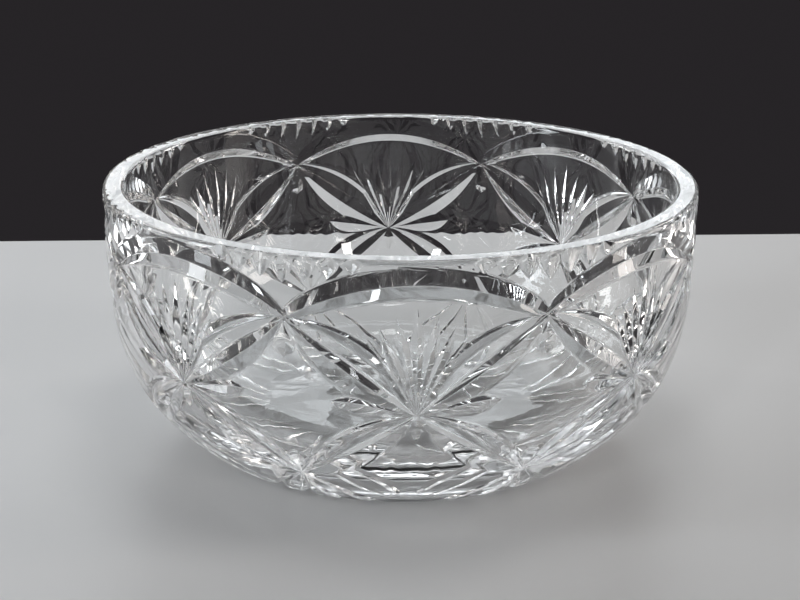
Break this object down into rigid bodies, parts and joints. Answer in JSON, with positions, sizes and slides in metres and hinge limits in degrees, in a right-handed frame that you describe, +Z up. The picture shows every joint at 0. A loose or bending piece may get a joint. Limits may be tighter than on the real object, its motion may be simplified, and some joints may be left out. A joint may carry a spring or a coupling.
{
  "type": "cut crystal punch bowl",
  "caption": "Large heavy clear cut-crystal punch bowl: steep round wall, rounded lower corner, flat foot, arch, fan and leaf cuts, notched rim.",
  "frame": {"origin": "centre of the flat foot, on the plane the bowl rests on", "axes": "+Z up along the bowl's axis of revolution; -Y towards the front, through the middle of one cut sector"},
  "size_m": [0.28, 0.28, 0.13],
  "materials": {
    "lead_crystal": "polished colourless lead crystal with wheel-cut facets"
  },
  "bodies": {
    "root": {"bowl": "lead_crystal"}
  },
  "joints": []
}
